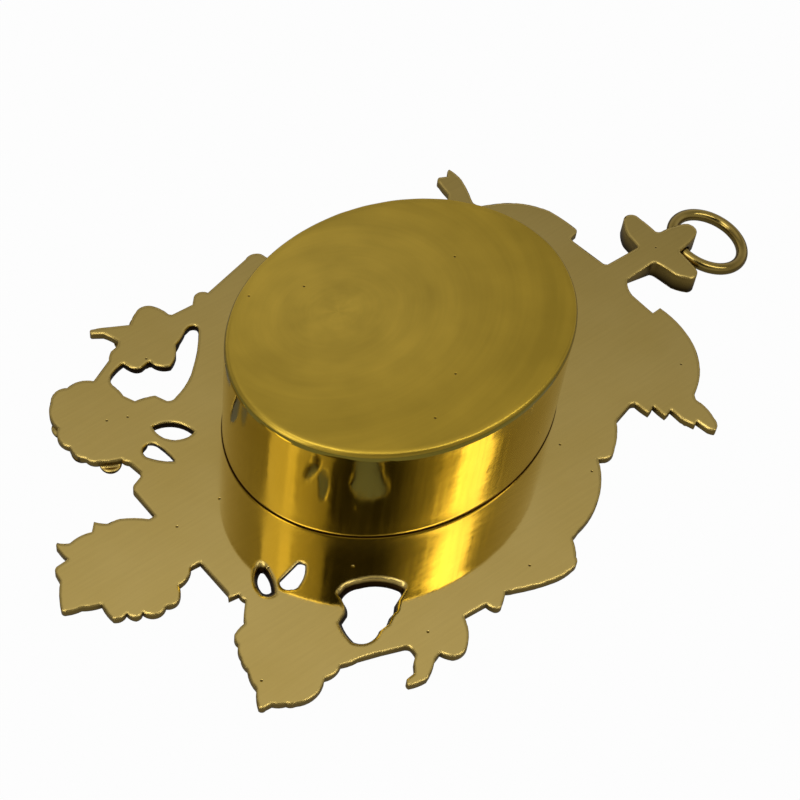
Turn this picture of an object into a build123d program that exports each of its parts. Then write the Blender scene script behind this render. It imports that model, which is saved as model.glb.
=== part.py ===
from build123d import *
import math
import os

# Oval amulet box on a cast openwork plaque, lying on its front with its lid upwards.
# The origin is the centre of the front rim's resting face.
# +Z points out of the back, through the lid, and +Y towards the hanging ring.
# Lengths are in millimetres and angles in degrees.

# Lid: an oval band closed by a flat plate, which slides over the collar
LID_LENGTH = 52.0
LID_WIDTH = 42.0
LID_HEIGHT = 18.9
LID_WALL = 0.8
LID_PLATE_THICKNESS = 1.2
LID_EDGE_ROUND = 0.45
SEAM_GAP = 0.2

# Collar: the oval sleeve fixed to the plaque's back
COLLAR_CLEARANCE = 0.12
COLLAR_WALL = 0.8
COLLAR_HEIGHT = 12.0

# Plaque: a casting with a flat back and a relief on its front
PLAQUE_BACK = 5.2
PLATE_THICKNESS = 1.2
CROSS_THICKNESS = 3.4
STEM_RAMP = (45.2, 51.6)
WINDOW_LEDGE = 2.6

# Relief on the plaque's front
LEAF_RISE = 0.4
LEAF_CROWN_SHARE = 0.8
RIB_RADIUS = 0.8
VEIN_RADIUS = 0.55
FEATHER_RADIUS = 0.55
SCROLL_RADIUS = 0.9
GRAPE_RADIUS = 1.6
GRAPE_RISE = 1.5
GRAPE_PITCH = 2.5
PETAL_RADIUS = 2.3
PETAL_RISE = 1.1
PETAL_COUNT = 5
PETAL_CIRCLE = 3.0
HEART_RADIUS = 1.5
HEART_RISE = 1.9
BUD_RADIUS = 1.9
BUD_RISE = 1.3
BOSS_RADIUS = 1.9
BOSS_RISE = 0.8

# Front rim round the window
RIM_WIDTH = 3.4
RIM_STEP_WIDTH = 1.4
RIM_STEP_DEPTH = 1.6
RIM_ROUND = 0.7

# Contents, stacked in the collar behind the window
STACK_CLEARANCE = 0.25
GLASS_THICKNESS = 1.8
SPACER_WALL = 1.2
SPACER_HEIGHT = 3.2
PAD_THICKNESS = 2.6
PAD_ROUND = 0.8
BOARD_THICKNESS = 1.2
CLIP_THICKNESS = 1.0
CLIP_WIDTH = 1.8
CLIP_GAP = 7.0
SCROLL_LENGTH = 21.0
SCROLL_DIAMETER = 2.5
SCROLL_BORE = 0.7
TIE_WIDTH = 1.3
TIE_THICKNESS = 0.2
TIE_SPACING = 11.0
SCROLL_GAP = 0.1

# Hanging ring, threaded through a bore across the cross's top arm
RING_RADIUS = 5.95
RING_WIRE = 1.86
RING_LEAN = 19.0
RING_REST_GAP = 0.15
BORE_CLEARANCE = 0.1
BORE_PIVOT = (0.1, 57.9)
TOP_ARM_WIDTH = 4.5

# The plaque's outline, counter-clockwise from the lowest leaf, as corners of (x, y, bow).
# Bow is the rise of the arc to the next corner over half its chord, outwards when positive.
# X and Y are millimetres from the centre of the lid's oval.
LOW_LEAF = [
    (-3.7, -38.4, 0), (-3.7, -39.4, 0.08), (-6.0, -42.6, 0.1), (-6.3, -44.3, -0.1), (-7.6, -45.7, 0),
    (-6.4, -46.8, 0.15), (-6.6, -50.1, -0.15), (-7.6, -51.5, 0.4), (-6.9, -51.9, 0.08), (-4.6, -51.7, 0),
    (-4.5, -53.4, 0.35), (-3.8, -54.2, 0), (-2.3, -54.4, 0.1), (1.3, -56.6, 0.4), (2.0, -56.3, 0.1),
    (2.6, -54.3, 0.1), (3.7, -51.9, 0.1), (6.5, -51.9, 0.35), (6.7, -50.0, 0.2), (8.0, -49.4, 0.3),
    (7.8, -48.2, 0.2), (9.0, -47.4, 0.35), (8.8, -45.2, 0.4), (8.8, -43.0, 0.2), (7.2, -42.1, 0.25),
    (5.8, -39.1, 0),
]
LOW_BAR = [(5.9, -37.7, 0), (12.0, -37.5, 0), (12.7, -37.9, 0), (12.9, -36.4, 0.2)]
SIDE_LEAF = [
    (14.1, -36.2, 0), (15.8, -37.7, 0.1), (17.0, -38.4, 0.1), (17.6, -40.5, 0.3), (19.0, -40.9, 0.2),
    (20.8, -41.8, 0.2), (22.7, -42.1, 0.15), (25.6, -42.8, 0.1), (28.0, -44.2, 0.5), (28.5, -43.4, 0),
    (28.6, -42.5, 0.15), (29.6, -41.0, 0.25), (30.3, -40.0, 0.35), (29.6, -34.8, 0.25), (29.3, -31.9, 0.1),
]
SIDE_STEM = [(29.9, -29.5, 0), (30.9, -26.5, 0), (32.0, -23.6, -0.2), (32.6, -22.9, -0.1)]
BUD = [
    (33.8, -23.0, 0), (34.6, -24.0, 0), (35.9, -24.9, 0), (36.0, -26.2, 0.5), (36.9, -26.6, 0.1),
    (37.5, -24.1, 0.1), (35.9, -21.4, 0), (35.5, -20.2, 0.1), (37.0, -19.2, 0.35), (36.6, -16.3, 0.15),
]
RIGHT_SCROLL = [
    (33.1, -14.1, 0), (33.4, -10.4, 0.1), (34.6, -10.0, 0.5), (34.6, -8.6, 0.1), (33.4, -7.0, 0.1),
    (34.0, -5.8, 0.05), (35.9, -0.2, 0.1), (36.0, 3.1, 0.35), (35.0, 4.5, 0.1), (32.4, 6.1, 0.05),
    (31.9, 7.8, 0.24), (24.5, 18.2, 0), (25.1, 19.2, 0.3), (24.6, 21.3, 0.1), (21.0, 25.0, 0),
]
RIGHT_WING = [
    (20.0, 28.8, -0.2), (20.3, 29.5, 0.05), (22.7, 29.9, 0.1), (22.1, 31.4, 0.05), (24.5, 31.6, 0.1),
    (24.1, 33.1, 0), (26.2, 33.2, 0), (28.2, 34.0, 0.1), (27.8, 34.8, 0), (29.9, 35.2, 0.1),
    (30.7, 35.8, 0.35), (29.0, 37.2, 0.15), (25.0, 37.4, -0.15), (24.0, 38.1, 0.24), (15.0, 45.0, 0.1),
    (9.1, 45.1, 0), (9.2, 43.5, 0), (4.8, 43.3, -0.2),
]
CROSS = [
    (2.0, 44.9, 0), (1.7, 50.4, -0.3), (2.3, 51.1, -0.05), (5.4, 51.8, 0.1), (7.5, 53.3, 0.55),
    (6.4, 55.3, 0.03), (2.7, 55.6, -0.3), (TOP_ARM_WIDTH / 2, 56.4, 0.08), (1.5, 60.0, 0.8),
    (-1.5, 60.1, 0.08), (-TOP_ARM_WIDTH / 2, 56.4, -0.3), (-2.8, 55.4, 0.03), (-6.6, 55.2, 0.55),
    (-7.7, 53.1, 0.12), (-4.9, 51.3, 0), (-2.3, 51.0, -0.3), (-1.9, 50.4, 0), (-2.0, 44.4, -0.2),
]
LEFT_WING = [
    (-2.6, 43.9, 0), (-8.5, 43.1, 0), (-9.3, 43.1, 0), (-9.6, 44.6, 0.3), (-10.4, 45.2, 0.05),
    (-15.6, 44.2, 0.2), (-21.9, 37.2, 0.05), (-22.4, 36.0, -0.3), (-23.9, 35.3, 0.05), (-28.5, 36.9, 0.1),
    (-31.4, 36.7, 0.3), (-30.3, 35.6, 0), (-30.9, 34.3, 0.5), (-30.0, 33.5, 0.05), (-27.4, 33.2, 0),
    (-26.2, 32.2, 0), (-24.1, 33.1, 0.1), (-24.5, 31.6, 0.05), (-22.1, 31.4, 0.1), (-22.7, 29.9, 0.05),
    (-20.3, 29.5, -0.2), (-20.0, 28.8, 0),
]
LEFT_SCROLL = [
    (-21.0, 25.0, 0.1), (-24.6, 21.3, 0.3), (-25.1, 19.2, 0), (-24.5, 18.2, 0.2), (-31.8, 5.4, 0.05),
    (-32.6, 1.7, 0), (-33.7, 1.4, 0.4), (-34.2, -1.2, 0), (-32.0, -9.7, 0.5), (-32.5, -11.9, 0),
    (-31.4, -12.9, 0), (-31.5, -16.4, -0.3),
]
FLOWER = [
    (-32.2, -16.9, 0.15), (-34.6, -18.0, 0.35), (-35.0, -20.4, 0.1), (-33.4, -22.6, 0),
    (-34.8, -25.4, 0.05), (-35.8, -27.7, 0.6), (-35.1, -28.1, 0), (-34.2, -26.7, -0.1),
    (-31.8, -25.7, 0), (-31.1, -26.4, 0), (-30.8, -27.6, 0.1), (-29.6, -28.8, 0),
]
GRAPES = [
    (-27.7, -32.6, 0.3), (-28.8, -36.3, 0.45), (-27.9, -39.6, 0.3), (-23.6, -41.1, 0.45),
    (-20.0, -41.6, 0.3), (-17.0, -40.8, 0.3), (-15.5, -39.6, 0.1), (-14.1, -36.8, 0.2), (-13.2, -36.3, 0),
]
LEFT_BAR = [(-10.9, -35.9, 0.3), (-10.2, -36.3, 0), (-9.6, -37.8, 0.35), (-8.5, -38.5, 0)]

# Gaps pierced through the plaque
LEFT_GAP = [
    (-27.7, -14.7, 0.3), (-28.3, -15.6, 0), (-28.0, -16.6, -0.1), (-26.6, -19.2, 0), (-25.5, -19.9, -0.15),
    (-23.8, -22.0, -0.35), (-26.3, -24.0, 0), (-25.9, -25.5, -0.25), (-26.5, -26.7, -0.1),
    (-28.1, -27.3, 0.1), (-27.2, -30.0, 0.2), (-25.6, -30.8, -0.1), (-23.1, -30.6, 0), (-21.4, -29.8, -0.1),
    (-20.6, -26.9, 0), (-18.9, -26.1, 0.35), (-18.7, -24.7, 0.12), (-21.5, -19.8, 0.06), (-26.6, -15.2, 0.2),
]
RIGHT_GAP = [
    (25.3, -17.7, 0.35), (24.3, -17.6, 0.2), (20.5, -22.2, 0.24), (20.4, -25.6, 0.1), (21.5, -25.9, -0.2),
    (23.4, -26.9, 0), (24.0, -28.4, 0.12), (27.5, -28.8, 0.3), (28.9, -26.2, 0.15), (28.3, -24.5, 0),
    (28.2, -23.0, 0), (27.4, -21.8, 0), (27.2, -20.8, 0), (26.2, -19.8, 0),
]

# Small pierced eyes beside the bunch and beside the side leaf
LEFT_ALMOND = [(-12.2, -25.9, 0.38), (-16.4, -30.3, 0.63)]
LEFT_DROP = [(-9.6, -31.1, 0.08), (-13.0, -31.4, 1.1), (-12.4, -33.9, 0.12)]
RIGHT_DROP = [
    (14.5, -26.6, 0.4), (13.6, -27.2, 0), (14.4, -30.6, 0.7), (16.4, -30.4, 0.3), (16.6, -29.3, 0.17),
]
RIGHT_ALMOND = [(10.5, -31.5, 0.3), (14.2, -34.1, 0.58), (15.8, -32.4, 0.15), (11.3, -30.9, 0.36)]

# Each opening with the share of its size that it keeps at the plate's front
OPENINGS = [
    (LEFT_GAP, 1.0), (RIGHT_GAP, 0.86), (LEFT_ALMOND, 0.95), (LEFT_DROP, 1.25), (RIGHT_DROP, 1.2),
    (RIGHT_ALMOND, 0.6),
]

# Places of the relief
FLOWER_CENTRE = (-29.9, -21.4)
BUD_CENTRE = (34.6, -17.5)
CROSS_CENTRE = (-0.1, 53.4)
GRAPE_CENTRE = (-21.4, -35.9)
BUNCH_LENGTH = 14.0
BUNCH_WIDTH = 10.4
LEAF_RIBS = [((0.6, -39.0), (1.3, -54.4)), ((17.0, -34.6), (27.0, -41.5))]
LEAF_VEINS = [
    ((0.8, -44.0), (7.4, -46.3)), ((0.9, -48.0), (5.6, -50.4)), ((0.7, -43.0), (-5.4, -45.2)),
    ((0.8, -47.4), (-5.4, -50.2)), ((21.0, -37.4), (21.2, -40.6)), ((21.0, -37.4), (28.2, -36.6)),
    ((24.0, -39.4), (24.4, -41.2)), ((24.0, -39.4), (28.4, -39.6)),
]
FEATHERS = [
    ((17.6, 35.2), (21.6, 30.6)), ((19.0, 35.4), (23.4, 32.4)), ((20.2, 34.4), (26.6, 34.0)),
    ((22.4, 33.9), (28.4, 35.7)),
]
SCROLLS = [
    ((20.4, 37.6), (13.4, 42.8), 0.2), ((29.8, 7.4), (23.4, 16.6), 0.24), ((31.2, -7.4), (32.6, 0.4), 0.1),
]

# Heights and ovals that follow from the sizes above
PLATE_FRONT = PLAQUE_BACK - PLATE_THICKNESS
LID_RIM = PLAQUE_BACK + SEAM_GAP
LID_TOP = LID_RIM + LID_HEIGHT
LID_PLATE_UNDER = LID_TOP - LID_PLATE_THICKNESS
COLLAR_INSET = LID_WALL + COLLAR_CLEARANCE
COLLAR_BORE_INSET = COLLAR_INSET + COLLAR_WALL
STACK_INSET = COLLAR_BORE_INSET + STACK_CLEARANCE
WINDOW_INSET = COLLAR_BORE_INSET + WINDOW_LEDGE
SPACER_FLOOR = PLAQUE_BACK + GLASS_THICKNESS
PAD_FLOOR = SPACER_FLOOR + SPACER_HEIGHT
BOARD_FLOOR = PAD_FLOOR + PAD_THICKNESS
CLIP_FLOOR = BOARD_FLOOR + BOARD_THICKNESS


def oval(inset, height=0.0):
    """Flat oval at a height, this far inside the lid's outside."""
    return Pos(0, 0, height) * Ellipse(LID_WIDTH / 2 - inset, LID_LENGTH / 2 - inset)


def oval_band(outer_inset, wall, floor, height):
    """Upright oval wall."""
    return extrude(oval(outer_inset, floor) - oval(outer_inset + wall, floor), amount=height)


def outline_face(corners, height=0.0):
    """Face bounded by lines and arcs through corners of (x, y, bow)."""
    edges = []
    for (x, y, bow), (next_x, next_y, _) in zip(corners, corners[1:] + corners[:1]):
        edges.append(bowed_edge(Vector(x, y, height), Vector(next_x, next_y, height), bow))
    return Face(Wire(edges))


def bowed_edge(start, end, bow):
    """Line, or arc of this bow, between two points at one height."""
    if not bow:
        return Line(start, end)
    chord = end - start
    middle = (start + end) / 2 + Vector(chord.Y, -chord.X) * (bow / 2)
    return ThreePointArc(start, middle, end)


def shrunk(corners, share):
    """The same corners, scaled by a share about their middle."""
    middle_x = sum(x for x, _, _ in corners) / len(corners)
    middle_y = sum(y for _, y, _ in corners) / len(corners)
    scaled = []
    for x, y, bow in corners:
        scaled.append((middle_x + (x - middle_x) * share, middle_y + (y - middle_y) * share, bow))
    return scaled


def cap(centre, radius, rise, base):
    """Spherical cap standing on a base height and pointing to the front."""
    sphere = (radius**2 + rise**2) / (2 * rise)
    ball = Pos(*centre, base - rise + sphere) * Sphere(sphere)
    return split(ball, bisect_by=Plane.XY.offset(base), keep=Keep.BOTTOM)


def leaf_crown(corners):
    """Raised middle of a leaf, with the leaf's own outline drawn in."""
    face = outline_face(shrunk(corners, LEAF_CROWN_SHARE), PLATE_FRONT)
    return extrude(face, amount=LEAF_RISE, dir=(0, 0, -1))


def ridge(start, end, radius, bow=0.0):
    """Round-ended ridge of half-round section along a line or an arc on the plate's front."""
    path = bowed_edge(Vector(*start, PLATE_FRONT), Vector(*end, PLATE_FRONT), bow)
    rod = sweep(Plane(path @ 0, z_dir=path % 0) * Circle(radius), path)
    for point in (path @ 0, path @ 1):
        rod += Pos(*point) * Sphere(radius)
    return split(rod, bisect_by=Plane.XY.offset(PLATE_FRONT), keep=Keep.BOTTOM)


def ring_axis():
    """Axis of the bore that the ring swings in, across the cross's top arm."""
    lean = math.radians(RING_LEAN)
    height = PLAQUE_BACK - CROSS_THICKNESS / 2
    return Axis((*BORE_PIVOT, height), (math.cos(lean), -math.sin(lean), 0))


def ring_sag():
    """How far the ring's wire bows within the width of the cross's arm."""
    half_bore = TOP_ARM_WIDTH / 2 / math.cos(math.radians(RING_LEAN))
    return RING_RADIUS - math.sqrt(RING_RADIUS**2 - half_bore**2)


def make_ring():
    """Closed ring of round wire, drooping from the bore until it meets the surface that the box lies on."""
    axis = ring_axis()
    centre_reach = RING_RADIUS - ring_sag() / 2
    fall = axis.position.Z - RING_WIRE / 2 - RING_REST_GAP
    droop = math.asin(fall / (centre_reach + RING_RADIUS))
    across = Vector(0, 0, 1).cross(axis.direction)
    out = across * math.cos(droop) - Vector(0, 0, math.sin(droop))
    placement = Plane(axis.position + out * centre_reach, x_dir=out, z_dir=axis.direction.cross(out))
    return placement * Torus(RING_RADIUS, RING_WIRE / 2)


def ring_bore():
    """Bore across the cross's top arm, wide enough for the bowed wire to turn."""
    axis = ring_axis()
    radius = RING_WIRE / 2 + ring_sag() / 2 + BORE_CLEARANCE
    return Plane(axis.position, z_dir=axis.direction) * Cylinder(radius, 2 * TOP_ARM_WIDTH)


def grape_centres():
    """Centres of the grapes, in staggered rows that fill the bunch's oval."""
    row_step = GRAPE_PITCH * math.sqrt(3) / 2
    rows = int(BUNCH_WIDTH / 2 / row_step)
    columns = int(BUNCH_LENGTH / 2 / GRAPE_PITCH) + 1
    for row in range(-rows, rows + 1):
        for column in range(-columns, columns + 1):
            x = (column + (row % 2) / 2) * GRAPE_PITCH
            y = row * row_step
            if (2 * x / BUNCH_LENGTH) ** 2 + (2 * y / BUNCH_WIDTH) ** 2 <= 1:
                yield GRAPE_CENTRE[0] + x, GRAPE_CENTRE[1] + y


def petal_centres():
    """Centres of the flower's petals, evenly round its heart."""
    for petal in range(PETAL_COUNT):
        turn = math.radians(90 + petal * 360 / PETAL_COUNT)
        x = PETAL_CIRCLE * math.cos(turn)
        y = PETAL_CIRCLE * math.sin(turn)
        yield FLOWER_CENTRE[0] + x, FLOWER_CENTRE[1] + y


def mirrored(point):
    """The same point on the plaque's other side."""
    x, y = point
    return (-x, y)


def plaque_outline():
    """The plaque's whole edge, counter-clockwise."""
    return (
        LOW_LEAF + LOW_BAR + SIDE_LEAF + SIDE_STEM + BUD + RIGHT_SCROLL + RIGHT_WING + CROSS
        + LEFT_WING + LEFT_SCROLL + FLOWER + GRAPES + LEFT_BAR
    )


def relief():
    """Raised ornament on the plaque's front, one solid after another."""
    yield leaf_crown(LOW_LEAF)
    yield leaf_crown(SIDE_LEAF)
    for start, end in LEAF_RIBS:
        yield ridge(start, end, RIB_RADIUS)
    for start, end in LEAF_VEINS:
        yield ridge(start, end, VEIN_RADIUS)
    for centre in grape_centres():
        yield cap(centre, GRAPE_RADIUS, GRAPE_RISE, PLATE_FRONT)
    for centre in petal_centres():
        yield cap(centre, PETAL_RADIUS, PETAL_RISE, PLATE_FRONT)
    yield cap(FLOWER_CENTRE, HEART_RADIUS, HEART_RISE, PLATE_FRONT)
    yield cap(BUD_CENTRE, BUD_RADIUS, BUD_RISE, PLATE_FRONT)
    yield cap(CROSS_CENTRE, BOSS_RADIUS, BOSS_RISE, PLAQUE_BACK - CROSS_THICKNESS)
    for start, end in FEATHERS:
        yield ridge(start, end, FEATHER_RADIUS)
        yield ridge(mirrored(start), mirrored(end), FEATHER_RADIUS)
    for start, end, bow in SCROLLS:
        yield ridge(start, end, SCROLL_RADIUS, bow)
        yield ridge(mirrored(start), mirrored(end), SCROLL_RADIUS, -bow)


def make_cross():
    """Thick cross whose stem thins down to the plate's front."""
    front = PLAQUE_BACK - CROSS_THICKNESS
    cross = extrude(outline_face(CROSS, front), amount=CROSS_THICKNESS)
    foot, top = STEM_RAMP
    low = foot - LID_LENGTH
    ramp = [(0, low, front), (0, top, front), (0, foot, PLATE_FRONT), (0, low, PLATE_FRONT)]
    side = Polyline(*ramp, close=True)
    return cross - extrude(make_face(side), amount=LID_WIDTH, dir=(1, 0, 0), both=True)


def make_plaque():
    """Cast openwork plaque: flat back, relief front, cross finial and window."""
    solid = extrude(outline_face(plaque_outline(), PLATE_FRONT), amount=PLATE_THICKNESS)
    solid += make_cross()
    for ornament in relief():
        solid += ornament
    for corners, share in OPENINGS:
        back = outline_face(corners, PLAQUE_BACK)
        front = outline_face(shrunk(corners, share), PLATE_FRONT)
        solid -= loft([front, back], ruled=True)
        solid -= extrude(front, amount=PLATE_FRONT, dir=(0, 0, -1))
    solid -= extrude(oval(WINDOW_INSET), amount=PLAQUE_BACK)
    solid -= ring_bore()
    return solid


def make_rim():
    """Stepped oval rim round the window, which the box lies on."""
    base = extrude(oval(WINDOW_INSET - RIM_WIDTH, RIM_STEP_DEPTH), amount=PLATE_FRONT - RIM_STEP_DEPTH)
    step = extrude(oval(WINDOW_INSET - RIM_WIDTH + RIM_STEP_WIDTH), amount=RIM_STEP_DEPTH)
    step = fillet(step.edges().group_by(Axis.Z)[0], RIM_ROUND)
    return base + step - extrude(oval(WINDOW_INSET), amount=PLATE_FRONT)


def make_lid_plate():
    """Flat oval plate that closes the lid, its outer edge rounded over."""
    plate = extrude(oval(0, LID_PLATE_UNDER), amount=LID_PLATE_THICKNESS)
    return fillet(plate.edges().group_by(Axis.Z)[-1], LID_EDGE_ROUND)


def make_pad():
    """Oval cushion with its crowned side towards the window."""
    pad = extrude(oval(STACK_INSET, PAD_FLOOR), amount=PAD_THICKNESS)
    return fillet(pad.edges().group_by(Axis.Z)[0], PAD_ROUND)


def make_clip():
    """Open oval spring clip that holds the stack down in the collar."""
    clip = oval_band(STACK_INSET, CLIP_WIDTH, CLIP_FLOOR, CLIP_THICKNESS)
    opening = Pos(0, -LID_LENGTH / 2, CLIP_FLOOR) * Box(CLIP_GAP, LID_LENGTH, 4 * CLIP_THICKNESS)
    return clip - opening


def scroll_frame(along):
    """Place on the scroll's axis, with the scroll lying along +Y under the pad."""
    radius = SCROLL_DIAMETER / 2 + TIE_THICKNESS
    return Pos(0, along, PAD_FLOOR - SCROLL_GAP - radius) * Rot(90, 0, 0)


def make_scroll():
    """Rolled paper amulet."""
    return scroll_frame(0) * (
        Cylinder(SCROLL_DIAMETER / 2, SCROLL_LENGTH) - Cylinder(SCROLL_BORE / 2, SCROLL_LENGTH)
    )


def make_ties():
    """Thread bindings round the scroll."""
    outside = Cylinder(SCROLL_DIAMETER / 2 + TIE_THICKNESS, TIE_WIDTH)
    tie = outside - Cylinder(SCROLL_DIAMETER / 2, TIE_WIDTH)
    return [scroll_frame(along) * tie for along in (-TIE_SPACING / 2, TIE_SPACING / 2)]


def make_pieces():
    """Every separate piece, by the name of its node."""
    return {
        "plaque": make_plaque(),
        "window_rim": make_rim(),
        "collar": oval_band(COLLAR_INSET, COLLAR_WALL, PLAQUE_BACK, COLLAR_HEIGHT),
        "window_glass": extrude(oval(STACK_INSET, PLAQUE_BACK), amount=GLASS_THICKNESS),
        "spacer_frame": oval_band(STACK_INSET, SPACER_WALL, SPACER_FLOOR, SPACER_HEIGHT),
        "relic_pad": make_pad(),
        "amulet_scroll": make_scroll(),
        "scroll_ties": Compound(children=make_ties()),
        "backing_board": extrude(oval(STACK_INSET, BOARD_FLOOR), amount=BOARD_THICKNESS),
        "retaining_clip": make_clip(),
        "lid_band": oval_band(0, LID_WALL, LID_RIM, LID_PLATE_UNDER - LID_RIM),
        "lid_plate": make_lid_plate(),
        "hanging_ring": make_ring(),
    }


def main():
    os.makedirs("parts", exist_ok=True)
    for name, piece in make_pieces().items():
        export_step(piece, f"parts/{name}.step")


main()
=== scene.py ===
import math

import bmesh
import bpy
from mathutils import Matrix, Vector, noise


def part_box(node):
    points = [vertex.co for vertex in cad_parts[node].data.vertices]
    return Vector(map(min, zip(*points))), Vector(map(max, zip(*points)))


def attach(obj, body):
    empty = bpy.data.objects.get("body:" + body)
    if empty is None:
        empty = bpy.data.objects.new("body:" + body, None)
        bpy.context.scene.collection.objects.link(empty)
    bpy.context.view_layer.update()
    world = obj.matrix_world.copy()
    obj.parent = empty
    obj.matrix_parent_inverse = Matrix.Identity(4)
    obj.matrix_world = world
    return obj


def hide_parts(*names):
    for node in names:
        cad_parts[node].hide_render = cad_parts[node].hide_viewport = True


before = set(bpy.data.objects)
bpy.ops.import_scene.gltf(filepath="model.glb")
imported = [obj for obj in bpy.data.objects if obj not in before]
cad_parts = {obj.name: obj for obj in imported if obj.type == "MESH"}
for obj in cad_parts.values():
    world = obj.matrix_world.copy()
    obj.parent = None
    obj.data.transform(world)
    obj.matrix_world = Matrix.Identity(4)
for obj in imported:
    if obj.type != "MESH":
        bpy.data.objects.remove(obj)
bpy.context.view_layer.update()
MM = 0.001

# Sizes that follow the solids, in millimetres
LID_HALF_WIDTH = 21.0
LID_HALF_LENGTH = 26.0
LID_MEAN_HALF = (LID_HALF_WIDTH + LID_HALF_LENGTH) / 2
PLAQUE_BACK = 5.2
LID_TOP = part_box("lid_plate")[1].z / MM
LID_PLATE_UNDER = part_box("lid_plate")[0].z / MM
LID_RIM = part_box("lid_band")[0].z / MM
LID_WALL = 0.8
# Lid's upper edge, rubbed round by buffing: (inset, depth below the top)
LID_EDGE = [
    (0.0, 1.2), (0.02, 0.98), (0.06, 0.76), (0.13, 0.56), (0.22, 0.39), (0.34, 0.25), (0.48, 0.13),
    (0.64, 0.05), (0.85, 0.0),
]
# Plaque's back edge, rubbed round: (inset, depth below the flat)
PLAQUE_EDGE = [(0.0, 0.2), (0.015, 0.125), (0.06, 0.06), (0.125, 0.015), (0.2, 0.0)]
# Rim round the window, and the pearls along its step
RIM_WIDTH = 3.4
RIM_STEP_WIDTH = 1.4
RIM_STEP_DEPTH = 1.6
RIM_ROUND = 0.7
PEARL_RADIUS = 0.55
PEARL_PITCH = 1.18
PEARL_INSET = 0.68
PEARL_SINK = 0.1
# Walls of the two bands inside the lid
COLLAR_WALL = 0.8
SPACER_WALL = 1.2
# Rolled paper, and the thread tied round it
PAPER_THICKNESS = 0.09
PAPER_TURNS = 3.4
PAPER_FIRST_RADIUS = 0.4
THREAD_RADIUS = 0.135
TIE_WIDTH = 1.3
TIE_TURNS = 5

# Camera fitted to the photograph, in radians, millimetres and pixels
CAMERA_AZIMUTH = math.radians(44.46)
CAMERA_ELEVATION = math.radians(52.57)
CAMERA_ROLL = math.radians(8.56)
CAMERA_DISTANCE = 272.7
CAMERA_SHIFT = (1.13, 0.61)
CAMERA_FOCAL_PIXELS = 1895
PICTURE_PIXELS = 800

# How much of the floor is plain white where the camera sees it, and where the metal mirrors it
WHITE_SEEN = 0.98
WHITE_MIRRORED = 0.1

# Lamps: name, azimuth from the camera's and elevation in degrees, width and height in metres,
# radiance, and sideways lean in degrees
SOFTBOXES = [
    ("left_softbox", -53, 54, 0.26, 0.6, 0.85, 0),
    ("left_fill", -29, 54, 0.34, 0.5, 0.4, 0),
    ("left_window", -40, 28, 0.3, 0.45, 3.0, 0),
    ("left_ceiling", -40, 74, 0.3, 0.3, 3.0, 0),
    ("right_window", 80.4, 54, 0.15, 0.6, 3.8, 35),
    ("right_fill", 68, 54, 0.16, 0.5, 0.6, 0),
]
SOFTBOX_DISTANCE = 0.9


# Colour and node helpers

def linear(hex_colour, alpha=1.0):
    """sRGB hex to the linear colour that the shaders use."""
    channels = [int(hex_colour[i:i + 2], 16) / 255 for i in (1, 3, 5)]
    return tuple(c / 12.92 if c <= 0.04045 else ((c + 0.055) / 1.055) ** 2.4 for c in channels) + (alpha,)


def per_mm(size):
    """Texture scale that repeats a pattern about once per this many millimetres."""
    return 1 / (size * MM)


def node(tree, kind, inputs=None, **settings):
    """Adds a node with its settings, and fills its inputs with values or other nodes' outputs."""
    made = tree.nodes.new("ShaderNode" + kind)
    for name, value in settings.items():
        setattr(made, name, value)
    for socket, value in (inputs or {}).items():
        if isinstance(value, bpy.types.NodeSocket):
            tree.links.new(value, made.inputs[socket])
        else:
            made.inputs[socket].default_value = value
    return made


def new_finish(name, **constants):
    """Empty material: its tree, its shader with constant settings, and its coordinates."""
    material = bpy.data.materials.new(name)
    material.use_nodes = True
    tree = material.node_tree
    shader = tree.nodes["Principled BSDF"]
    for socket, value in constants.items():
        shader.inputs[socket.replace("_", " ")].default_value = value
    place = node(tree, "TexCoord")
    return material, tree, shader, place


def on_oval(tree, spot):
    """Place measured in the lid's half width and half length, so that the lid's outline lies at 1."""
    halves = (1 / (LID_HALF_WIDTH * MM), 1 / (LID_HALF_LENGTH * MM), 0)
    return node(tree, "VectorMath", {0: spot, 1: halves}, operation="MULTIPLY").outputs[0]


def scattered_pits(tree, spot, spacing, channel, rarity, size):
    """Mask of small pits in some of the cells of this spacing, in millimetres.
    Size is a share of the spacing."""
    cells = node(tree, "TexVoronoi", {"Vector": spot, "Scale": per_mm(spacing)}, voronoi_dimensions="2D")
    tone = node(tree, "SeparateColor", {"Color": cells.outputs["Color"]})
    chosen = node(tree, "Math", {0: tone.outputs[channel], 1: rarity}, operation="GREATER_THAN")
    near = node(tree, "MapRange", {"Value": cells.outputs["Distance"], "From Min": 0.012, "From Max": size,
                                   "To Min": 1.0, "To Max": 0.0}, interpolation_type="SMOOTHSTEP")
    mask = node(tree, "Math", {0: chosen.outputs[0], 1: near.outputs["Result"]}, operation="MULTIPLY")
    return mask.outputs[0]


# Finishes

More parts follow.
